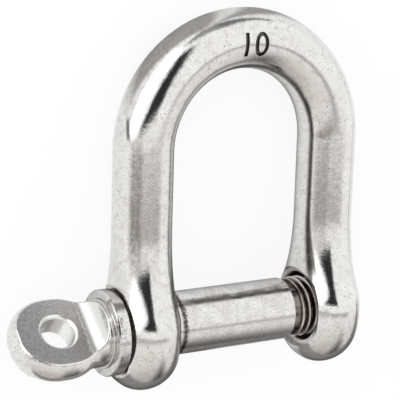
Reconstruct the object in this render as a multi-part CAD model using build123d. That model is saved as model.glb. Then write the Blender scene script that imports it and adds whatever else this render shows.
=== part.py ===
from build123d import *
import math
import os

# Stainless D-shackle with a 10 mm screw pin, in millimetres.
# It is drawn with X along the pin and the pin's head at -X, Y from the pin to the
# crown, Z square to the bow, and the origin on the pin's axis midway between the legs.
# lay_down then turns it about X until it rests on both lugs and the crown, with +Z up.

# Bow: one round bar bent to a D, with a forged lug at each end
bar_diameter = 9.4
leg_gap = 23.8
inside_length = 40.0
lug_diameter = 16.8
lug_swell = 1.0
lug_drop = 1.4
lug_blend_radius = 26.0

# Faced and drilled lugs
facing_depth = 0.6
spot_face_diameter = 14.2
running_clearance = 0.1
plain_hole_chamfer = 0.5
tapped_hole_countersink = 1.3
tapped_hole_back_chamfer = 0.6

# Shank and thread of the pin
pin_diameter = 10.0
shank_end_x = 9.1
relief_diameter = 8.8
relief_length = 1.0
thread_diameter = 9.8
tip_recess = 0.3
tip_chamfer = 0.9

# Collar, ring and neck below the pin's eye
collar_gap = 0.25
collar_diameter = 13.5
collar_thickness = 1.9
collar_chamfer = 0.25
ring_diameter = 10.9
ring_thickness = 0.35
neck_diameter = 10.3
neck_length = 0.3

# Eye of the pin: a rounded blank with two milled flats and a hole
eye_width = 13.5
eye_stretch = 1.2
eye_rim_radius = 3.3
eye_thickness = 4.6
eye_reach = 7.7
eye_neck_blend = 4.5
cutter_radius = 3.4
eye_hole_diameter = 5.2
eye_hole_chamfer = 0.45
eye_turn = 50.5

# Sizes and places that follow from those above
bar_radius = bar_diameter / 2
lug_radius = lug_diameter / 2
leg_x = leg_gap / 2 + bar_radius
bend_y = inside_length - leg_gap / 2
bar_crown_y = inside_length + bar_radius
lug_thickness = bar_diameter + lug_swell
outer_face_x = leg_x + lug_thickness / 2 - facing_depth
inner_face_x = leg_x - lug_thickness / 2 + facing_depth

collar_back_x = -outer_face_x - collar_gap
collar_front_x = collar_back_x - collar_thickness
ring_front_x = collar_front_x - ring_thickness
neck_front_x = ring_front_x - neck_length
eye_x = collar_front_x - eye_reach
thread_start_x = shank_end_x + relief_length
tip_x = outer_face_x - tip_recess

rest_turn = math.degrees(math.asin((lug_radius - bar_radius) / (bar_crown_y + lug_drop)))


def rod(diameter, x_from, x_to):
    """Round bar along X between two places."""
    length = x_to - x_from
    return Pos(x_from + length / 2, 0, 0) * Rot(0, 90, 0) * Cylinder(diameter / 2, length)


def countersink(mouth_x, inward, bore, depth):
    """A 45 degree cone that opens a bore at its mouth, with inward as 1 or -1 along X."""
    flare = Cone(bore / 2 + depth, bore / 2, depth)
    return Pos(mouth_x + inward * depth / 2, 0, 0) * Rot(0, inward * 90, 0) * flare


def bent_bar():
    """The bar: two straight legs joined by the half circle of the crown."""
    right_leg = Line((leg_x, -lug_drop, 0), (leg_x, bend_y, 0))
    crown = CenterArc((0, bend_y, 0), leg_x, 0, 180)
    left_leg = Line((-leg_x, bend_y, 0), (-leg_x, -lug_drop, 0))
    section = Plane(origin=(leg_x, -lug_drop, 0), z_dir=(0, 1, 0)) * Circle(bar_radius)
    return sweep(section, path=Wire([right_leg, crown, left_leg]))


def lug_blank(side):
    """A thick disc with a fully rounded rim, as forged, centred just below the pin."""
    tube = lug_thickness / 2
    slot = SlotOverall(lug_diameter, lug_thickness, rotation=90)
    half = slot & Rectangle(lug_thickness, lug_radius, align=(Align.CENTER, Align.MIN))
    disc = revolve(half, axis=Axis.X)
    return Pos(side * leg_x, -lug_drop, 0) * disc


def forged_bow():
    """Bar and lugs as one forging, with a wide hollow blend where each leg meets its lug."""
    bar = bent_bar()
    lugs = [lug_blank(-1), lug_blank(1)]
    bow = bar + lugs
    roots = new_edges(bar, *lugs, combined=bow).filter_by(is_leg_root)
    return bow.fillet(lug_blend_radius, roots)


def is_leg_root(edge):
    """True for the edges that run round a leg where it leaves its lug."""
    return edge.geom_type == GeomType.BSPLINE


def spot_faces():
    """What is milled off flat round the pin, inside and outside both lugs."""
    beyond_x = leg_x + lug_thickness
    between = rod(spot_face_diameter, -inner_face_x, inner_face_x)
    left = rod(spot_face_diameter, -beyond_x, -outer_face_x)
    right = rod(spot_face_diameter, outer_face_x, beyond_x)
    return [between, left, right]


def plain_hole():
    """The hole in the left lug that the shank slides through."""
    bore = pin_diameter + 2 * running_clearance
    hole = rod(bore, -outer_face_x, -inner_face_x)
    hole = hole + countersink(-outer_face_x, 1, bore, plain_hole_chamfer)
    return hole + countersink(-inner_face_x, -1, bore, plain_hole_chamfer)


def tapped_hole():
    """The hole in the right lug that takes the thread, widely countersunk towards the jaw."""
    bore = thread_diameter + 2 * running_clearance
    hole = rod(bore, inner_face_x, outer_face_x)
    hole = hole + countersink(inner_face_x, 1, bore, tapped_hole_countersink)
    return hole + countersink(outer_face_x, -1, bore, tapped_hole_back_chamfer)


def make_bow():
    """The finished bow."""
    return forged_bow() - spot_faces() - plain_hole() - tapped_hole()


def collar():
    """The turned disc that stops the pin against the left lug."""
    disc = rod(collar_diameter, collar_front_x, collar_back_x)
    return chamfer(disc.edges().filter_by(GeomType.CIRCLE), collar_chamfer)


def turned_pin():
    """Everything on the pin that was turned: ring, collar, shank, relief and thread."""
    depth = (pin_diameter - relief_diameter) / 2
    rise = (thread_diameter - relief_diameter) / 2
    thread = rod(thread_diameter, thread_start_x, tip_x)
    thread = chamfer(thread.edges().sort_by(Axis.X)[-1], tip_chamfer)
    pin = rod(ring_diameter, ring_front_x, collar_front_x) + collar()
    pin = pin + rod(pin_diameter, collar_back_x, shank_end_x)
    pin = pin + countersink(shank_end_x, 1, relief_diameter, depth)
    pin = pin + rod(relief_diameter, shank_end_x, thread_start_x)
    pin = pin + countersink(thread_start_x, -1, relief_diameter, rise)
    return pin + thread


def eye_blank():
    """The eye as forged: a disc with a rounded rim, drawn out a little along the pin."""
    slot = SlotOverall(eye_width, 2 * eye_rim_radius)
    half = slot & Rectangle(eye_width, eye_width, align=(Align.MIN, Align.CENTER))
    disc = revolve(Plane.XZ * half, axis=Axis.Z)
    middle = extrude(Plane.YZ * slot, eye_stretch / 2, both=True)
    near = Pos(eye_stretch / 2, 0, 0) * disc
    far = Pos(-eye_stretch / 2, 0, 0) * disc
    return Pos(eye_x, 0, 0) * (near + middle + far)


def flat_cut(side):
    """What the cutter takes off one face, leaving a hollow curve up to the neck."""
    length = eye_width
    height = neck_diameter
    align = (Align.MAX, Align.MIN)
    block = Pos(neck_front_x, eye_thickness / 2) * Rectangle(2 * length, height, align=align)
    corner = block.vertices().sort_by(Axis.Y)[:2].sort_by(Axis.X)[-1]
    profile = Plane.XZ * fillet(corner, cutter_radius)
    cut = extrude(profile, length, both=True)
    return Rot(0 if side > 0 else 180, 0, 0) * cut


def forged_eye():
    """Eye blank and neck in one, with a hollow blend at the root of the eye."""
    blank = eye_blank()
    neck = rod(neck_diameter, eye_x, collar_front_x)
    head = blank + neck
    roots = new_edges(blank, neck, combined=head).filter_by(GeomType.BSPLINE)
    return head.fillet(eye_neck_blend, roots)


def eye():
    """The finished eye and its neck, lying flat."""
    head = forged_eye() - flat_cut(1) - flat_cut(-1)
    head = head - Pos(eye_x, 0, 0) * Cylinder(eye_hole_diameter / 2, eye_width)
    rims = head.edges().filter_by(is_hole_rim)
    return chamfer(rims, eye_hole_chamfer)


def is_hole_rim(edge):
    """True for the two round edges of the eye's hole."""
    return edge.geom_type == GeomType.CIRCLE and edge.is_closed and edge.center().X < neck_front_x


def make_pin():
    """The screw pin, with its eye turned to where it stands when the pin is home."""
    return turned_pin() + Rot(-eye_turn, 0, 0) * eye()


def lay_down(piece):
    """Turn a piece about the pin's axis into the shackle's resting attitude."""
    return Rot(-rest_turn, 0, 0) * piece


os.makedirs("parts", exist_ok=True)
export_step(lay_down(make_bow()), "parts/bow.step")
export_step(lay_down(make_pin()), "parts/screw_pin.step")
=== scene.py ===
import math

import bmesh
import bpy
from mathutils import Matrix, Vector


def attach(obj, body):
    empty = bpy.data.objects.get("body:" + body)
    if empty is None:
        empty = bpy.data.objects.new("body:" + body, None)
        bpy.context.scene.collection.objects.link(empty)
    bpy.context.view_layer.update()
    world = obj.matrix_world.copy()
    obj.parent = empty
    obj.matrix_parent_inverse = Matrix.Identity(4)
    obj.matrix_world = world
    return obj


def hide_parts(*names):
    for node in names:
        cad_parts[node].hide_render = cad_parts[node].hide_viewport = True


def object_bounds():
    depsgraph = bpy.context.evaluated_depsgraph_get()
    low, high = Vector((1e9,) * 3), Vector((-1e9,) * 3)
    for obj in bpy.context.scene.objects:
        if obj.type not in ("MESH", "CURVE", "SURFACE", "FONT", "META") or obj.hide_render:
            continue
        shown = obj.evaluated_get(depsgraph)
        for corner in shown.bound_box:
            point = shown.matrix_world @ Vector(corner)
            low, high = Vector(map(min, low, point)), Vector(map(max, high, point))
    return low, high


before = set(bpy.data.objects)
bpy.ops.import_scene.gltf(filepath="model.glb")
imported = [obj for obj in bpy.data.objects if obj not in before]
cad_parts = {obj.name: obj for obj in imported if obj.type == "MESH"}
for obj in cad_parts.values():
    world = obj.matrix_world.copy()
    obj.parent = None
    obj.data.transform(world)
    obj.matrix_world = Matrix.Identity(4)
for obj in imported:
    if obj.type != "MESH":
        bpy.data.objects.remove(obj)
cad_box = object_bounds()


# The bow: one round stainless bar, bent hot to a D and forged at both ends into thick round lugs.
# It was tumbled to a bright, slightly pitted finish, then faced and drilled for the pin.
# It is drawn standing up, X along the pin and Y to the crown, and laid down at the end.

mm = 0.001
bar_radius = 4.7 * mm
leg_x = 16.6 * mm
bend_y = 28.1 * mm
lug_radius = 8.4 * mm
lug_half_thickness = 5.3 * mm
lug_y = -1.4 * mm
lug_blend = 26.0 * mm
lug_foot_y = lug_y - lug_radius
lug_wide = 8.3 * mm
lug_wide_y = 0.1 * mm
rim_share = 0.3
weld = 1e-6
round_steps = 96
rest_turn = math.asin((lug_radius - bar_radius) / (bend_y + leg_x - lug_y))


def hold(piece, mode="OBJECT"):
    """Make one piece the only one selected and go to object or edit mode."""
    if bpy.context.object and bpy.context.object.mode != "OBJECT":
        bpy.ops.object.mode_set(mode="OBJECT")
    bpy.ops.object.select_all(action="DESELECT")
    bpy.context.view_layer.objects.active = piece
    piece.select_set(True)
    if mode == "EDIT":
        bpy.ops.object.mode_set(mode="EDIT")
        bpy.ops.mesh.select_mode(type="VERT")


def round_blank(name, radius, x, fill="NOTHING"):
    """Start a piece as a circle square to X, with its place already in the mesh."""
    bpy.ops.object.select_all(action="DESELECT")
    bpy.ops.mesh.primitive_circle_add(
        vertices=round_steps, radius=radius, fill_type=fill, location=(x, 0, 0), rotation=(0, math.pi / 2, 0))
    piece = bpy.context.object
    piece.name = name
    bpy.ops.object.transform_apply(location=True, rotation=True, scale=True)
    return piece


def drawn_width(along, radius, centre, stock, blend):
    """Half width of round stock where it swells through a hollow blend into a round end."""
    reach = blend + stock
    rise = math.sqrt((blend + radius) ** 2 - reach ** 2)
    if along >= centre + rise:
        return stock
    if along >= centre + rise * radius / (blend + radius):
        return reach - math.sqrt(blend ** 2 - (centre + rise - along) ** 2)
    return math.sqrt(max(radius ** 2 - (along - centre) ** 2, 0.0))


def draw_out(centre, shift, thin, wide, now, then):
    """Extrude the selected end by shift and forge it from one (width, thickness, rim depth) to the next."""
    bpy.ops.mesh.extrude_region_move(TRANSFORM_OT_translate={"value": shift})
    piece = bpy.context.object
    centre = Vector(centre) + Vector(shift)
    flat = [1.0, 1.0, 1.0]
    flat[thin] = then[1] / now[1]
    bpy.ops.transform.resize(value=flat, center_override=centre)
    ring = [p for p in bmesh.from_edit_mesh(piece.data).verts if p.select]
    for side in (1, -1):
        for point in ring:
            point.select_set((point.co[wide] - centre[wide]) * side > 1e-7)
        rim = centre.copy()
        rim[wide] += side * (now[0] - now[2])
        scale = [1.0, 1.0, 1.0]
        scale[wide] = then[2] / now[2]
        bpy.ops.transform.resize(value=scale, center_override=rim)
        move = Vector((0, 0, 0))
        move[wide] = side * ((then[0] - then[2]) - (now[0] - now[2]))
        bpy.ops.transform.translate(value=move)
    for point in ring:
        point.select_set(True)
    bmesh.from_edit_mesh(piece.data).select_flush(True)


def add(tree, kind, plugs=None, **settings):
    """Add a shader node, and set each of its plugs to a value or join it to an output."""
    node = tree.nodes.new(kind)
    for name, value in settings.items():
        setattr(node, name, value)
    for name, value in (plugs or {}).items():
        if isinstance(value, bpy.types.NodeSocket):
            tree.links.new(value, node.inputs[name])
        else:
            node.inputs[name].default_value = value
    return node


def maths(tree, operation, *values):
    """One sum done on values and patterns."""
    return add(tree, "ShaderNodeMath", dict(enumerate(values)), operation=operation).outputs[0]


def times(tree, first, *others):
    """Several shares multiplied together."""
    for other in others:
        first = maths(tree, "MULTIPLY", first, other)
    return first


def length(tree, place, keep=(1.0, 1.0, 1.0)):
    """How long a place's line from the middle is, along the directions that are kept."""
    kept = add(tree, "ShaderNodeVectorMath", {0: place, 1: keep}, operation="MULTIPLY").outputs[0]
    return add(tree, "ShaderNodeVectorMath", {0: kept}, operation="LENGTH").outputs["Value"]


def graded(tree, value, start, end, low=0.0, high=1.0):
    """A share that goes from low to high while a value goes from start to end."""
    return add(tree, "ShaderNodeMapRange", {
        "Value": value, "From Min": start, "From Max": end, "To Min": low, "To Max": high}).outputs["Result"]


def band(tree, value, centre, half, soft):
    """A share that is 1 near a value's centre and falls softly to 0 outside."""
    off = maths(tree, "ABSOLUTE", maths(tree, "SUBTRACT", value, centre))
    return graded(tree, off, half, half + soft, 1.0, 0.0)


def ramp(tree, value, *stops):
    """A ramp through (spot, grey) or (spot, colour) stops."""
    node = add(tree, "ShaderNodeValToRGB", {"Fac": value})
    marks = node.color_ramp.elements
    while len(marks) < len(stops):
        marks.new(0.5)
    for mark, (spot, shade) in zip(marks, stops):
        mark.position = spot
        mark.color = shade if isinstance(shade, tuple) else (shade, shade, shade, 1)
    return node.outputs["Color"]


def mixed(tree, share, first, second):
    """One colour turned into another by a share from 0 to 1."""
    return add(tree, "ShaderNodeMix", {0: share, 6: first, 7: second}, data_type="RGBA").outputs[2]


def noise(tree, place, scale, detail, roughness=0.5):
    """A cloudy pattern from 0 to 1."""
    return add(tree, "ShaderNodeTexNoise", {
        "Vector": place, "Scale": scale, "Detail": detail, "Roughness": roughness}).outputs["Fac"]


def mapped(tree, place, **change):
    """The place turned or stretched."""
    plugs = {"Vector": place}
    plugs.update({name.title(): value for name, value in change.items()})
    return add(tree, "ShaderNodeMapping", plugs).outputs["Vector"]


def split(tree, place):
    """The X, Y and Z of a place."""
    return add(tree, "ShaderNodeSeparateXYZ", {"Vector": place}).outputs


def bump(tree, pattern, strength, distance, under=None, **settings):
    """Raise the surface by a pattern, over the bumps that are already under it."""
    plugs = {"Height": pattern, "Strength": strength, "Distance": distance}
    if under:
        plugs["Normal"] = under
    return add(tree, "ShaderNodeBump", plugs, **settings).outputs["Normal"]


def metal(name):
    """A bare stainless steel to start from, and where its surface is on the piece."""
    made = bpy.data.materials.new(name)
    made.use_nodes = True
    tree = made.node_tree
    steel = tree.nodes["Principled BSDF"]
    steel.inputs["Metallic"].default_value = 1
    steel.inputs["Specular Tint"].default_value = (0.45, 0.45, 0.46, 1)
    return made, tree, steel, add(tree, "ShaderNodeTexCoord").outputs["Object"]


# the tumbled skin: mottled, specked with brown and shallowly pitted
dull_skin = (0.73, 0.725, 0.71, 1)
bright_skin = (0.82, 0.82, 0.805, 1)
mottled_grey = (0.55, 0.50, 0.48, 1)
speck_brown = (0.30, 0.27, 0.25, 1)
pit_brown = (0.16, 0.14, 0.13, 1)
stain_and_painted_reflection_brown = (0.25, 0.215, 0.20, 1)
painted_reflection_black = (0.09, 0.08, 0.07, 1)
painted_reflection_dark = (0.11, 0.11, 0.10, 1)

forged_steel, tree, steel, place = metal("forged_stainless")
cloud = noise(tree, place, 240, 3, 0.6)
mottle = noise(tree, place, 900, 4, 0.7)
speckle = noise(tree, place, 3800, 3, 0.7)
pits = add(tree, "ShaderNodeTexVoronoi", {"Vector": place, "Scale": 560}).outputs["Distance"]
pitted = ramp(tree, pits, (0.0, 1), (0.04, 1), (0.075, 0))
skin = mixed(tree, ramp(tree, cloud, (0.35, 0), (0.65, 1)), dull_skin, bright_skin)
skin = mixed(tree, ramp(tree, mottle, (0.50, 0), (0.68, 0.6)), skin, mottled_grey)
patchy = times(tree, ramp(tree, speckle, (0.32, 0.8), (0.46, 0)), ramp(tree, cloud, (0.42, 0.15), (0.60, 1)))
skin = mixed(tree, patchy, skin, speck_brown)

# brown tumbling stain in strips down the front of both legs, partly a painted reflection of a greyer band
drawn = mapped(tree, place, rotation=(rest_turn, 0, 0))
apart = split(tree, drawn)
front = graded(tree, apart["Z"], 0.4 * mm, 1.6 * mm)
along = band(tree, apart["Y"], 20.5 * mm, 8.5 * mm, 5 * mm)
streaks = noise(tree, mapped(tree, place, scale=(1.0, 0.45, 1.0)), 2200, 5, 0.8)
for middle, half, soft, depth in (
        (-19.55, 0.4, 0.5, 0.72), (-17.6, 1.2, 0.8, 0.20), (13.7, 0.5, 0.6, 0.50), (15.4, 1.0, 1.2, 0.20)):
    strip = band(tree, apart["X"], middle * mm, half * mm, soft * mm)
    stain_and_painted_reflection = times(tree, strip, along, front, ramp(tree, streaks, (0.36, 0.35 * depth), (0.54, depth)))
    skin = mixed(tree, stain_and_painted_reflection, skin, stain_and_painted_reflection_brown)

# a painted dark reflection in a line round the inside of the bend and down both legs
beyond = maths(tree, "MAXIMUM", maths(tree, "SUBTRACT", apart["Y"], bend_y), 0.0)
spread = add(tree, "ShaderNodeCombineXYZ", {"X": apart["X"], "Y": beyond}).outputs["Vector"]
spread = length(tree, spread)
leftward = maths(tree, "SQRT", graded(tree, apart["X"], 12 * mm, -12 * mm))
downward = graded(tree, apart["Y"], 16 * mm, 7 * mm, 0.0, 0.45 * mm)
outer_side = maths(tree, "MULTIPLY_ADD", leftward, -0.5 * mm, spread)
outer_side = graded(tree, maths(tree, "SUBTRACT", outer_side, downward), 12.47 * mm, 12.68 * mm, 1.0, 0.0)
inner_side = graded(tree, spread, 12.15 * mm, 12.36 * mm)
above_lugs = graded(tree, apart["Y"], 4.5 * mm, 7.5 * mm)
grime_and_painted_reflection = times(tree, inner_side, outer_side, front, above_lugs, ramp(tree, streaks, (0.30, 0.75), (0.50, 0.93)))
skin = mixed(tree, grime_and_painted_reflection, skin, painted_reflection_black)

# a painted dark reflection: a thin streak at the outer foot of the bend, on the left
slanted = maths(tree, "MULTIPLY_ADD", apart["Y"], 0.26, apart["Z"])
painted_reflection_streak = times(
    tree, band(tree, slanted, 10.46 * mm, 0.18 * mm, 0.16 * mm),
    band(tree, apart["Y"], 32.1 * mm, 1.1 * mm, 0.9 * mm),
    graded(tree, apart["X"], -19.0 * mm, -19.6 * mm), 0.85)
skin = mixed(tree, painted_reflection_streak, skin, painted_reflection_dark)
skin = mixed(tree, pitted, skin, pit_brown)
tree.links.new(skin, steel.inputs["Base Color"])

# painted shade: the edge tint makes glancing reflections duller inside the D and under the lugs
painted_shade_tint = (0.38, 0.38, 0.38, 1)
tint_outside = (1.0, 1.0, 1.0, 1)
above_lugs = graded(tree, apart["Y"], -5 * mm, 3 * mm)
on_eye = graded(tree, apart["X"], -25.5 * mm, -27.5 * mm)
outside = times(tree, graded(tree, spread, 15 * mm, 18 * mm), maths(tree, "MAXIMUM", above_lugs, on_eye))
tree.links.new(mixed(tree, outside, painted_shade_tint, tint_outside), steel.inputs["Specular Tint"])
tree.links.new(graded(tree, mottle, 0.3, 0.75, 0.05, 0.14), steel.inputs["Roughness"])
ripple = bump(tree, mottle, 0.14, 0.12 * mm)
grain = bump(tree, speckle, 0.38, 0.03 * mm, ripple)
tree.links.new(bump(tree, pitted, 0.6, 0.04 * mm, grain, invert=True), steel.inputs["Normal"])

# drilled, faced and tapped surfaces: rougher, browner towards the top of the right lug, and painted near black
# as shade deep in the bores and the tapped hole
dull_face = (0.60, 0.56, 0.54, 1)
bright_face = (0.84, 0.82, 0.80, 1)
face_brown = (0.30, 0.255, 0.235, 1)
painted_shade_brown = (0.07, 0.055, 0.05, 1)

cut_steel, tree, steel, place = metal("cut_stainless")
oil = noise(tree, place, 900, 4, 0.7)
apart = split(tree, place)
face = mixed(tree, ramp(tree, oil, (0.35, 0), (0.65, 1)), dull_face, bright_face)
high = graded(tree, apart["Y"], -1 * mm, 5 * mm, 0.0, 0.8)
right = graded(tree, apart["X"], -1 * mm, 1 * mm)
face = mixed(tree, times(tree, high, right), face, face_brown)
# painted shade: near black inside the bores and the tapped hole
face = mixed(tree, graded(tree, length(tree, place, (0.0, 1.0, 1.0)), 5.5 * mm, 5.7 * mm), painted_shade_brown, face)
tree.links.new(face, steel.inputs["Base Color"])
steel.inputs["Roughness"].default_value = 0.34
tree.links.new(bump(tree, noise(tree, place, 5000, 1), 0.2, 0.02 * mm), steel.inputs["Normal"])

# the walls and floor of the struck number, painted dark as shade in the recess
struck_steel, tree, steel, place = metal("struck_stainless")
steel.inputs["Base Color"].default_value = (0.14, 0.135, 0.13, 1)
steel.inputs["Roughness"].default_value = 0.45

# half the bend is spun, one leg and its lug are drawn out of it, and the whole is mirrored
bend_steps = 72
straight_end_y = 16.0 * mm
forging_step = 0.55 * mm

bow = round_blank("shackle_bow", bar_radius, 0)
bow.data.materials.append(forged_steel)
bow.location.y = bend_y + leg_x
bpy.ops.object.transform_apply(location=True)
hold(bow, "EDIT")
bpy.ops.mesh.select_all(action="SELECT")
bpy.ops.mesh.spin(steps=bend_steps, angle=math.pi / 2, center=(0, bend_y, 0), axis=(0, 0, 1))

heights = [bend_y, straight_end_y]
while heights[-1] - forging_step > lug_wide_y:
    heights.append(heights[-1] - forging_step)
heights += [lug_wide_y - (lug_wide_y - lug_foot_y) * math.sin(math.radians(a)) for a in range(0, 90, 3)]


def lug_size(y):
    """Half width and half thickness of leg and lug at one height, and how deep their rim is rounded."""
    upper_y = lug_y + lug_radius - lug_half_thickness
    lower_y = lug_y - lug_radius + lug_half_thickness
    width = drawn_width(y, lug_wide, lug_wide_y, bar_radius, lug_blend)
    if y < lug_wide_y:
        width = lug_wide * math.sqrt(1 - ((lug_wide_y - y) / (lug_wide_y - lug_foot_y)) ** 2)
    thickness = drawn_width(y, lug_half_thickness, upper_y, bar_radius, lug_blend)
    if y < upper_y:
        thickness = lug_half_thickness
    if y < lower_y:
        thickness = math.sqrt(lug_half_thickness ** 2 - (lower_y - y) ** 2)
    return width, thickness, thickness + rim_share * (width - thickness)


for above, below in zip(heights, heights[1:]):
    draw_out((leg_x, above, 0), (0, below - above, 0), 0, 2, lug_size(above), lug_size(below))
bpy.ops.mesh.extrude_region_move(TRANSFORM_OT_translate={"value": (0, lug_foot_y - heights[-1], 0)})
bpy.ops.mesh.merge(type="CENTER")
bpy.ops.object.mode_set(mode="OBJECT")

mirror = bow.modifiers.new("other half", "MIRROR")
mirror.merge_threshold = weld
bpy.ops.object.modifier_apply(modifier=mirror.name)
hold(bow, "EDIT")
bpy.ops.mesh.select_all(action="SELECT")
bpy.ops.mesh.normals_make_consistent(inside=False)
bpy.ops.object.mode_set(mode="OBJECT")


def turned(name, stations):
    """Turn a solid round X through (x, radius) stations, closed at both ends."""
    x, radius = stations[0]
    piece = round_blank(name, radius, x, "NGON")
    hold(piece, "EDIT")
    bpy.ops.mesh.select_all(action="SELECT")
    for next_x, next_radius in stations[1:]:
        bpy.ops.mesh.extrude_region_move(TRANSFORM_OT_translate={"value": (next_x - x, 0, 0)})
        ratio = next_radius / radius
        bpy.ops.transform.resize(value=(1, ratio, ratio), center_override=(next_x, 0, 0))
        x, radius = next_x, next_radius
    bpy.ops.mesh.select_all(action="SELECT")
    bpy.ops.mesh.normals_make_consistent(inside=False)
    bpy.ops.object.mode_set(mode="OBJECT")
    return piece


def cut(piece, tool, operation="DIFFERENCE", finish=None):
    """Cut one piece by another, or join or trim it, and leave the tool's finish where it cut."""
    if finish:
        tool.data.materials.append(finish)
    hold(piece)
    change = piece.modifiers.new("cut", "BOOLEAN")
    change.operation = operation
    change.solver = "EXACT"
    change.material_mode = "TRANSFER"
    change.object = tool
    bpy.ops.object.modifier_apply(modifier=change.name)
    bpy.data.objects.remove(tool)


thread_pitch = 1.25 * mm
thread_steps = 72
# one tooth of the thread, in shares of the pitch along it and of the depth outwards
thread_tooth = (
    (0, 0), (0.10, 0), (0.16, 0.05), (0.41, 0.86), (0.46, 1),
    (0.54, 1), (0.59, 0.86), (0.84, 0.05), (0.90, 0), (1, 0))


def threaded(name, crest, root, x_from, turns):
    """A right-hand screw round X: one tooth of the thread, wound on and closed at both ends."""
    bpy.ops.object.select_all(action="DESELECT")
    bpy.ops.mesh.primitive_plane_add(size=mm, location=(0, 0, 0))
    rod = bpy.context.object
    rod.name = name
    hold(rod, "EDIT")
    bpy.ops.mesh.select_all(action="SELECT")
    bpy.ops.mesh.merge(type="CENTER")
    bpy.ops.transform.translate(value=(x_from, root, 0))
    at = thread_tooth[0]
    for spot in thread_tooth[1:]:
        shift = ((spot[0] - at[0]) * thread_pitch, (spot[1] - at[1]) * (crest - root), 0)
        bpy.ops.mesh.extrude_region_move(TRANSFORM_OT_translate={"value": shift})
        at = spot
    bpy.ops.object.mode_set(mode="OBJECT")
    wind = rod.modifiers.new("wind", "SCREW")
    wind.axis = "X"
    wind.screw_offset = thread_pitch
    wind.iterations = turns
    wind.steps = thread_steps
    wind.render_steps = thread_steps
    wind.use_merge_vertices = True
    wind.merge_threshold = weld
    bpy.ops.object.modifier_apply(modifier=wind.name)
    hold(rod, "EDIT")
    bpy.ops.mesh.select_all(action="SELECT")
    bpy.ops.mesh.remove_doubles(threshold=weld)
    middle = x_from + (turns + 1) * thread_pitch / 2
    for end_x in (x_from + thread_pitch / 2, x_from + (turns + 0.5) * thread_pitch):
        bpy.ops.mesh.select_all(action="DESELECT")
        bpy.ops.mesh.select_non_manifold(extend=False)
        shape = bmesh.from_edit_mesh(rod.data)
        for point in shape.verts:
            if point.select and (point.co.x - middle) * (end_x - middle) < 0:
                point.select_set(False)
        shape.select_flush(False)
        bpy.ops.mesh.extrude_region_move(TRANSFORM_OT_translate={"value": (0, 0, 0)})
        bpy.ops.transform.resize(value=(0, 0, 0), center_override=(end_x, 0, 0))
        bpy.ops.mesh.merge(type="CENTER")
    bpy.ops.mesh.select_all(action="SELECT")
    bpy.ops.mesh.normals_make_consistent(inside=False)
    if bmesh.from_edit_mesh(rod.data).calc_volume(signed=True) < 0:
        bpy.ops.mesh.flip_normals()
    bpy.ops.object.mode_set(mode="OBJECT")
    return rod


# both lugs are faced, drilled and chamfered, and the right one has its pocket cut and is tapped
clear_x = 30 * mm
inner_face_x = 12.0 * mm
outer_face_x = 21.2 * mm
seat_x = 20.9 * mm
spot_radius = 7.1 * mm
seat_radius = 7.3 * mm
bore = 5.1 * mm
bore_chamfer = 0.5 * mm
pocket_radius = 6.55 * mm
pocket_x = 12.6 * mm
mouth_radius = 5.75 * mm
mouth_end_x = 14.4 * mm
tapping = 4.3 * mm
tapping_chamfer = 1.3 * mm

cut(bow, turned("facing cutter and drills", (
    (-clear_x, seat_radius),
    (-seat_x, seat_radius),
    (-seat_x, bore + bore_chamfer),
    (-seat_x + bore_chamfer, bore),
    (-inner_face_x - bore_chamfer, bore),
    (-inner_face_x, bore + bore_chamfer),
    (-inner_face_x, spot_radius),
    (0, spot_radius),
    (0, pocket_radius),
    (pocket_x, pocket_radius),
    (pocket_x, mouth_radius),
    (mouth_end_x, tapping),
    (outer_face_x - tapping_chamfer, tapping),
    (outer_face_x, tapping + tapping_chamfer),
    (outer_face_x, spot_radius),
    (clear_x, spot_radius))), finish=cut_steel)
cut(bow, threaded("tap", 5.0 * mm, 4.2 * mm, 9.8 * mm, 9), finish=cut_steel)

# the plain number struck into the face of the crown, sunk evenly below the round surface
number_height = 5.2 * mm
number_weight = 0.07 * mm
number_half_depth = 1.2 * mm
number_sunk = 0.4 * mm
number_place = (-0.3 * mm, 44.05 * mm, 4.7 * mm)

bpy.ops.object.select_all(action="DESELECT")
bpy.ops.object.text_add(location=number_place)
number = bpy.context.object
number.data.body = "10"
number.data.materials.append(struck_steel)
number.data.align_x = "CENTER"
number.data.align_y = "CENTER"
number.data.size = number_height
number.data.offset = number_weight
number.data.extrude = number_half_depth
number.data.resolution_u = 6
bpy.ops.object.convert(target="MESH")
bpy.ops.object.transform_apply(location=True, rotation=True, scale=True)
hold(number, "EDIT")
bpy.ops.mesh.select_all(action="SELECT")
bpy.ops.mesh.remove_doubles(threshold=weld)
bpy.ops.mesh.normals_make_consistent(inside=False)
bpy.ops.object.mode_set(mode="OBJECT")
bpy.ops.object.select_all(action="DESELECT")
bpy.ops.mesh.primitive_torus_add(
    location=(0, bend_y, 0), major_segments=3 * round_steps, minor_segments=round_steps,
    major_radius=leg_x, minor_radius=bar_radius - number_sunk)
floor_of_stamp = bpy.context.object
bpy.ops.object.transform_apply(location=True)
cut(number, floor_of_stamp, finish=struck_steel)
cut(bow, number)


smooth_up_to = math.radians(28)


def finished(piece):
    """Lay a piece down, shade it smoothly, and keep faced surfaces flat right up to their edges."""
    piece.rotation_euler = (-rest_turn, 0, 0)
    hold(piece)
    bpy.ops.object.transform_apply(rotation=True)
    bpy.ops.object.shade_smooth_by_angle(angle=smooth_up_to)
    flats = piece.modifiers.new("flats stay flat", "WEIGHTED_NORMAL")
    flats.keep_sharp = True
    flats.weight = 100
    bpy.ops.object.modifier_apply(modifier=flats.name)


finished(bow)
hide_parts("bow")
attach(bow, "bow")


# The screw pin, forged and turned from one stainless bar: shank, relief, thread, collar and ring.
# Its eye was forged as a round blank, milled flat on both faces with a round-nosed cutter
# that left a hollow ramp up to the neck, and drilled.

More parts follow.
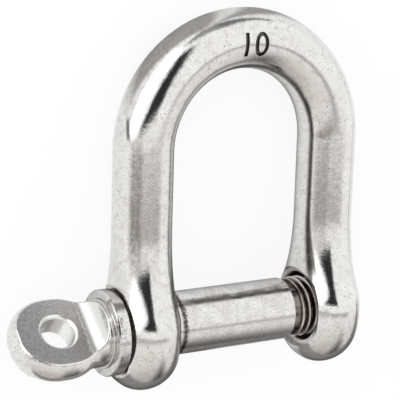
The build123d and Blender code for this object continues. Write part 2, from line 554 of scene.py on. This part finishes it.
pin_radius = 5.0 * mm
thread_crest = 4.9 * mm
thread_root = 4.13 * mm
relief_radius = 4.45 * mm
core_radius = 4.0 * mm
collar_radius = 6.75 * mm
collar_front_x = -23.35 * mm
collar_back_x = -21.15 * mm
ring_radius = 5.45 * mm
ring_front_x = -23.7 * mm
neck_radius = 5.15 * mm
tip_x = 20.9 * mm

# the turned skin: fine lines round it, grime of use where it meets the left lug, and painted shade on the
# collar's back where it faces the lug
dull_turned = (0.68, 0.665, 0.65, 1)
bright_turned = (0.79, 0.79, 0.775, 1)
turned_speck = (0.33, 0.30, 0.28, 1)
relief_grey = (0.25, 0.22, 0.205, 1)
ring_grime_and_painted_shade = (0.07, 0.06, 0.055, 1)
painted_reflection_grey = (0.11, 0.10, 0.09, 1)

turned_steel, tree, steel, place = metal("turned_stainless")
apart = split(tree, place)
lines = noise(tree, mapped(tree, place, scale=(1.0, 0.03, 0.03)), 7000, 3, 0.7)
cloud = noise(tree, place, 420, 4, 0.65)
speckle = noise(tree, place, 3800, 3, 0.7)
skin = mixed(tree, ramp(tree, cloud, (0.40, 0), (0.62, 1)), dull_turned, bright_turned)
skin = mixed(tree, ramp(tree, speckle, (0.30, 0.7), (0.48, 0)), skin, turned_speck)
# the relief and the core under the thread: brown with oil, darkened further as painted shade
relief_oil_and_painted_shade = mixed(tree, ramp(tree, cloud, (0.40, 0), (0.56, 1)), painted_shade_brown, relief_grey)
skin = mixed(tree, graded(tree, apart["X"], 9.05 * mm, 9.25 * mm), skin, relief_oil_and_painted_shade)
# a ragged dark ring beside the left lug
ragged = maths(tree, "ADD", apart["X"], maths(tree, "MULTIPLY_ADD", speckle, 1.6 * mm, -0.8 * mm))
grime_and_painted_reflection = band(tree, ragged, -11.04 * mm, 0.12 * mm, 0.44 * mm)
skin = mixed(tree, grime_and_painted_reflection, skin, ring_grime_and_painted_shade)
# a painted dark reflection along the top of the shank
broken = maths(tree, "ADD", apart["Y"], maths(tree, "MULTIPLY_ADD", cloud, 0.8 * mm, -0.4 * mm))
painted_reflection_line = times(
    tree, band(tree, broken, 4.30 * mm, 0.06 * mm, 0.32 * mm), graded(tree, apart["Z"], 0.0, 1 * mm),
    band(tree, apart["X"], 0.0, 8.5 * mm, 3 * mm), 0.8)
skin = mixed(tree, painted_reflection_line, skin, painted_reflection_grey)
# dark specks on the collar's rim, and painted shade on its back that faces the lug
on_collar = times(
    tree, band(tree, apart["X"], -22.2 * mm, 1.1 * mm, 0.2 * mm), ramp(tree, cloud, (0.56, 0), (0.66, 0.85)))
skin = mixed(tree, on_collar, skin, pit_brown)
skin = mixed(tree, band(tree, apart["X"], -21.12 * mm, 0.24 * mm, 0.02 * mm), skin, ring_grime_and_painted_shade)
tree.links.new(skin, steel.inputs["Base Color"])
tree.links.new(graded(tree, cloud, 0.3, 0.7, 0.24, 0.13), steel.inputs["Roughness"])
turning = bump(tree, lines, 0.10, 0.02 * mm)
tree.links.new(bump(tree, speckle, 0.12, 0.03 * mm, turning), steel.inputs["Normal"])

# the thread: bright along its crests, brown with oil and rust dust down in its grooves and darkened there
# further as painted shade
groove_oil_and_painted_shade = (0.07, 0.05, 0.04, 1)
groove_rust = (0.20, 0.15, 0.13, 1)
crest_bright = (0.74, 0.71, 0.69, 1)

thread_steel, tree, steel, place = metal("threaded_stainless")
crests = graded(tree, length(tree, place, (0.0, 1.0, 1.0)), 4.55 * mm, 4.86 * mm)
tip = graded(tree, split(tree, place)["X"], 20.0 * mm, 20.3 * mm)
oil = noise(tree, place, 1400, 3, 0.7)
groove = mixed(tree, ramp(tree, oil, (0.35, 0), (0.65, 1)), groove_oil_and_painted_shade, groove_rust)
skin = mixed(tree, maths(tree, "MAXIMUM", crests, tip), groove, crest_bright)
tree.links.new(skin, steel.inputs["Base Color"])
steel.inputs["Roughness"].default_value = 0.22

# the milled flats: dull grey with the fine bite of the cutter, faintly brown towards the neck
bite_dark = (0.36, 0.36, 0.36, 1)
bite_bright = (0.62, 0.62, 0.62, 1)
neck_brown = (0.46, 0.37, 0.36, 1)
ramp_bright = (0.76, 0.76, 0.74, 1)

milled_steel, tree, steel, place = metal("milled_stainless")
apart = split(tree, place)
bite = noise(tree, place, 3300, 4, 0.8)
cloud = noise(tree, place, 500, 3, 0.6)
face = mixed(tree, ramp(tree, bite, (0.36, 0), (0.58, 1)), bite_dark, bite_bright)
towards_neck = graded(tree, apart["X"], -31.0 * mm, -27.5 * mm, 0.0, 0.7)
face = mixed(tree, times(tree, towards_neck, cloud), face, neck_brown)
ragged = maths(tree, "ADD", apart["X"], maths(tree, "MULTIPLY_ADD", bite, 2.2 * mm, -1.1 * mm))
on_ramp = graded(tree, ragged, -27.15 * mm, -26.85 * mm)
face = mixed(tree, on_ramp, face, ramp_bright)
tree.links.new(face, steel.inputs["Base Color"])
tree.links.new(graded(tree, on_ramp, 0.0, 1.0, 0.30, 0.20), steel.inputs["Roughness"])
bitten = bump(tree, bite, 0.22, 0.03 * mm)
ridges = times(tree, noise(tree, mapped(tree, place, scale=(0.12, 1.0, 1.0)), 2200, 2), on_ramp)
tree.links.new(bump(tree, ridges, 0.5, 0.04 * mm, bitten), steel.inputs["Normal"])

# the drilled hole of the eye, clean and bright
drilled_steel, tree, steel, place = metal("drilled_stainless")
steel.inputs["Base Color"].default_value = (0.93, 0.93, 0.91, 1)
steel.inputs["Roughness"].default_value = 0.30

pin = turned("screw_pin_whole", (
    (-24.3 * mm, 4.5 * mm),
    (ring_front_x, 4.5 * mm),
    (ring_front_x, ring_radius - 0.12 * mm),
    (-23.66 * mm, ring_radius - 0.04 * mm),
    (-23.58 * mm, ring_radius),
    (collar_front_x, ring_radius),
    (collar_front_x, collar_radius - 0.25 * mm),
    (-23.29 * mm, collar_radius - 0.12 * mm),
    (-23.10 * mm, collar_radius - 0.01 * mm),
    (-22.9 * mm, collar_radius),
    (-21.5 * mm, collar_radius),
    (-21.32 * mm, collar_radius - 0.04 * mm),
    (collar_back_x, collar_radius - 0.25 * mm),
    (collar_back_x, pin_radius),
    (8.9 * mm, pin_radius),
    (9.05 * mm, pin_radius - 0.06 * mm),
    (9.10 * mm, pin_radius - 0.2 * mm),
    (9.35 * mm, relief_radius),
    (10.45 * mm, relief_radius),
    (10.55 * mm, core_radius),
    (20.2 * mm, core_radius)))
pin.data.materials.append(turned_steel)
screw = threaded("screw thread", thread_crest, thread_root, 8.55 * mm, 10)
screw.data.materials.append(thread_steel)
cut(screw, turned("thread blank", (
    (10.40 * mm, 3.6 * mm),
    (10.40 * mm, 4.4 * mm),
    (10.75 * mm, 5.1 * mm),
    (20.0 * mm, 5.1 * mm),
    (tip_x, core_radius),
    (tip_x, 1.5 * mm))), "INTERSECT", thread_steel)
cut(pin, screw, "UNION")

eye_x = -31.05 * mm
eye_stretch = 0.6 * mm
eye_radius = 6.75 * mm
eye_rim = 3.3 * mm
eye_blend = 4.5 * mm
eye_hole = 2.6 * mm
eye_start_x = -23.6 * mm
eye_step = 0.4 * mm
eye_turn = math.radians(-50.5)
near_x = eye_x + eye_stretch
far_x = eye_x - eye_stretch


def eye_size(x):
    """Half width and half thickness of the forged eye, from its neck out to its far rim."""
    width = drawn_width(x, eye_radius, near_x, neck_radius, eye_blend)
    if x < near_x:
        width = eye_radius
    if x < far_x:
        width = math.sqrt(eye_radius ** 2 - (x - far_x) ** 2)
    share = min(max((x + 27.4 * mm) / (2.8 * mm), 0.0), 1.0)
    share = share * share * (3 - 2 * share)
    thickness = eye_rim + (neck_radius - eye_rim) * share
    rim_x = far_x - eye_radius + eye_rim
    if x < rim_x:
        thickness = math.sqrt(eye_rim ** 2 - (x - rim_x) ** 2)
    return width, thickness, thickness


eye = round_blank("eye", neck_radius, eye_start_x, "NGON")
eye.data.materials.append(forged_steel)
places = [eye_start_x, eye_start_x - 1 * mm]
while places[-1] > far_x - 3.6 * mm:
    places.append(places[-1] - eye_step)
lead = math.asin((far_x - places[-1]) / eye_radius)
places += [far_x - eye_radius * math.sin(lead + (math.pi / 2 - lead) * k / 14) for k in range(1, 14)]
hold(eye, "EDIT")
bpy.ops.mesh.select_all(action="SELECT")
for here, there in zip(places, places[1:]):
    draw_out((here, 0, 0), (there - here, 0, 0), 2, 1, eye_size(here), eye_size(there))
bpy.ops.mesh.extrude_region_move(TRANSFORM_OT_translate={"value": (far_x - eye_radius - places[-1], 0, 0)})
bpy.ops.mesh.merge(type="CENTER")
bpy.ops.mesh.select_all(action="SELECT")
bpy.ops.mesh.normals_make_consistent(inside=False)
bpy.ops.object.mode_set(mode="OBJECT")

# both faces are milled by a block with one rounded edge, and the hole is drilled and countersunk
flat_z = 2.3 * mm
ramp_x = -24.0 * mm
nose_radius = 3.4 * mm
cutter_size = 24 * mm
for side in (1, -1):
    bpy.ops.object.select_all(action="DESELECT")
    bpy.ops.mesh.primitive_cube_add(
        size=cutter_size, location=(ramp_x - cutter_size / 2, 0, side * (flat_z + cutter_size / 2)))
    cutter = bpy.context.object
    bpy.ops.object.transform_apply(location=True)
    hold(cutter, "EDIT")
    bpy.ops.mesh.select_all(action="DESELECT")
    shape = bmesh.from_edit_mesh(cutter.data)
    for point in shape.verts:
        point.select_set(abs(point.co.x - ramp_x) < 1e-5 and abs(point.co.z - side * flat_z) < 1e-5)
    shape.select_flush(True)
    bpy.ops.mesh.bevel(offset=nose_radius, segments=20, affect="EDGES")
    bpy.ops.object.mode_set(mode="OBJECT")
    cut(eye, cutter, finish=milled_steel)
drill = turned("drill and countersinks", (
    (-3.3 * mm, 4.05 * mm),
    (-1.85 * mm, eye_hole),
    (1.85 * mm, eye_hole),
    (3.3 * mm, 4.05 * mm)))
drill.rotation_euler = (0, math.pi / 2, 0)
drill.location.x = eye_x
bpy.ops.object.transform_apply(location=True, rotation=True)
cut(eye, drill, finish=drilled_steel)

hold(eye)
edges = eye.modifiers.new("worn edges", "BEVEL")
edges.width = 0.16 * mm
edges.segments = 3
edges.limit_method = "ANGLE"
edges.angle_limit = math.radians(35)
edges.use_clamp_overlap = False
bpy.ops.object.modifier_apply(modifier=edges.name)

eye.rotation_euler = (eye_turn, 0, 0)
bpy.ops.object.transform_apply(rotation=True)
cut(pin, eye, "UNION")

finished(pin)
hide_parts("screw_pin")
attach(pin, "pin")


# A plain white table top that the shackle lies on, so wide that it is its own backdrop.
# Seen straight it is nearly pure white with the shackle's soft shadow, and the steel reflects
# two stretches of it, past the crown and past the lugs, with painted shade.

table_size = 4
table_white = (0.93, 0.93, 0.93, 1)
table_painted_shade = (0.30, 0.29, 0.285, 1)
glow_seen = 0.86
glow_reflected = 0.7

bpy.ops.object.select_all(action="DESELECT")
bpy.ops.mesh.primitive_plane_add(size=table_size, location=(0, 0, cad_box[0].z))
table_top = bpy.context.object
bpy.ops.object.transform_apply(location=True)
table_top.name = "table_top"
white = bpy.data.materials.new("white_table")
white.use_nodes = True
tree = white.node_tree
tree.nodes.clear()
seen = add(tree, "ShaderNodeLightPath").outputs
straight = maths(tree, "MAXIMUM", seen["Is Camera Ray"], seen["Is Transmission Ray"])
apart = split(tree, add(tree, "ShaderNodeTexCoord").outputs["Object"])
past_crown = times(
    tree, graded(tree, apart["Y"], 34 * mm, 42 * mm), band(tree, apart["X"], -8.5 * mm, 19 * mm, 10 * mm),
    ramp(tree, band(tree, apart["X"], 0.0, 1.2 * mm, 3 * mm), (0, 0.90), (1, 0.35)))
slanted = maths(tree, "MULTIPLY_ADD", apart["Y"], -0.75, apart["X"])
set_back = maths(tree, "ADD", apart["Y"], graded(tree, apart["X"], 0.0, 6 * mm, 0.0, 10 * mm))
past_lugs = times(tree, graded(tree, set_back, -5 * mm, -12 * mm), graded(tree, slanted, -16 * mm, -10 * mm))
# lit is where the reflected table carries no painted shade
lit = maths(tree, "SUBTRACT", 1.0, maths(tree, "MAXIMUM", past_crown, past_lugs))
share = maths(tree, "MULTIPLY", times(tree, seen["Is Glossy Ray"], lit), glow_reflected)
share = maths(tree, "MULTIPLY_ADD", straight, glow_seen, share)
painted_shade_share = times(tree, seen["Is Glossy Ray"], maths(tree, "SUBTRACT", 1.0, lit))
matt = add(tree, "ShaderNodeBsdfDiffuse", {"Color": mixed(tree, painted_shade_share, table_white, table_painted_shade)})
glow = add(tree, "ShaderNodeEmission", {"Color": (1, 1, 1, 1), "Strength": 1.0})
both = add(tree, "ShaderNodeMixShader", {0: share, 1: matt.outputs[0], 2: glow.outputs[0]})
add(tree, "ShaderNodeOutputMaterial", {"Surface": both.outputs[0]})
table_top.data.materials.append(white)


# The light: an even white tent, one round soft lamp, and the cards round the table that
# polished steel shows as its dark and grey streaks; one card is a sheet of painted shadow.

tent_white = (1.1, 1.1, 1.09, 1)
tent = bpy.data.worlds.new("tent")
bpy.context.scene.world = tent
tent.use_nodes = True
tree = tent.node_tree
direction = add(tree, "ShaderNodeTexCoord").outputs["Generated"]
upward = (0.0, math.cos(rest_turn), -math.sin(rest_turn))
height = add(tree, "ShaderNodeVectorMath", {0: direction, 1: upward}, operation="DOT_PRODUCT").outputs["Value"]
walls = ramp(
    tree, graded(tree, height, -1.0, 1.0), (0.0, (0.60, 0.56, 0.54, 1)), (0.12, (0.84, 0.80, 0.78, 1)),
    (0.34, (1.0, 0.97, 0.955, 1)), (0.43, tent_white), (1.0, tent_white))
glossy = add(tree, "ShaderNodeLightPath").outputs["Is Glossy Ray"]
tree.links.new(mixed(tree, glossy, (1, 1, 1, 1), walls), tree.nodes["Background"].inputs["Color"])
tree.nodes["Background"].inputs["Strength"].default_value = 1.0


def standing(turn, height):
    """Direction seen from the shackle as if it stood up: turn from +Z towards -X, height towards +Y."""
    turn, height = math.radians(turn), math.radians(height)
    aim = Vector((-math.sin(turn) * math.cos(height), math.sin(height), math.cos(turn) * math.cos(height)))
    return Matrix.Rotation(-rest_turn, 3, "X") @ aim


card_distance = 0.9


def card(name, corners, colour, soft):
    """A four-cornered card with soft edges that only the steel's reflections show."""
    bpy.ops.object.select_all(action="DESELECT")
    bpy.ops.mesh.primitive_plane_add(size=2)
    sheet = bpy.context.object
    sheet.name = name
    middle = sum((standing(*c) for c in corners), Vector()).normalized()
    order = ((-1, -1), (1, -1), (1, 1), (-1, 1))
    for point in sheet.data.vertices:
        ray = standing(*corners[order.index((round(point.co.x), round(point.co.y)))])
        point.co = ray * (card_distance / ray.dot(middle))
    paint = bpy.data.materials.new(name)
    paint.use_nodes = True
    tree = paint.node_tree
    tree.nodes.clear()
    across = split(tree, add(tree, "ShaderNodeTexCoord").outputs["UV"])
    share = times(tree, *(band(tree, across[axis], 0.5, 0.5 - soft, soft) for axis in ("X", "Y")))
    shine = add(tree, "ShaderNodeEmission", {"Color": (*colour, 1), "Strength": 1.0})
    clear = add(tree, "ShaderNodeBsdfTransparent")
    both = add(tree, "ShaderNodeMixShader", {0: share, 1: clear.outputs[0], 2: shine.outputs[0]})
    add(tree, "ShaderNodeOutputMaterial", {"Surface": both.outputs[0]})
    sheet.data.materials.append(paint)
    sheet.visible_camera = False
    sheet.visible_diffuse = False
    sheet.visible_shadow = False


card("dark_card", ((56, 3), (1, 3), (7, 52), (31, 52)), (0.03, 0.03, 0.032), 0.02)
for turn in (84, 46, 8):
    corners = ((turn, -17), (turn - 60, -18), (turn - 60, -9), (turn, -8))
    card("table_edge", corners, (0.46, 0.43, 0.41), 0.35)
card("grey_card_middle", ((-20, 60), (-88, 47), (-88, 84), (-20, 84)), (0.22, 0.22, 0.225), 0.12)
card("grey_card_right", ((-72, 46), (-130, 44), (-130, 74), (-72, 78)), (0.19, 0.19, 0.195), 0.12)
card("grey_card_left", ((40, 60), (-36, 58), (-36, 84), (40, 84)), (0.36, 0.36, 0.36), 0.12)
# shaded_side is a dark sheet standing in for the shackle's shadow on the table, painted shadow that only
# reflections show
card("shaded_side", ((-22, -82), (-125, -82), (-125, -40), (-22, -27)), (0.12, 0.11, 0.105), 0.36)

lamp_distance = 0.7
lamp_spread = math.radians(32.5)
lamp_level = 1.2
lamp = bpy.data.lights.new("softbox", "AREA")
lamp.shape = "DISK"
lamp.size = 2 * lamp_distance * math.tan(lamp_spread)
lamp.energy = lamp_level * math.pi * math.pi * (lamp.size / 2) ** 2
softbox = bpy.data.objects.new("softbox", lamp)
bpy.context.scene.collection.objects.link(softbox)
softbox.location = standing(69, 34) * lamp_distance
softbox.rotation_euler = (-softbox.location).to_track_quat("-Z", "Y").to_euler()


# The camera looks down on the lying shackle from the left of its crown, at the angle and from
# the distance that the photograph was taken at.

camera = bpy.data.cameras.new("camera")
camera.lens = 149.64
camera.sensor_width = 36
camera.clip_start = 0.01
viewer = bpy.data.objects.new("camera", camera)
bpy.context.scene.collection.objects.link(viewer)
viewer.location = (-131.16 * mm, 97.41 * mm, 211.70 * mm)
viewer.rotation_euler = [math.radians(a) for a in (-19.729, -29.004, 4.483)]
bpy.context.scene.camera = viewer
bpy.context.scene.view_settings.view_transform = "Standard"
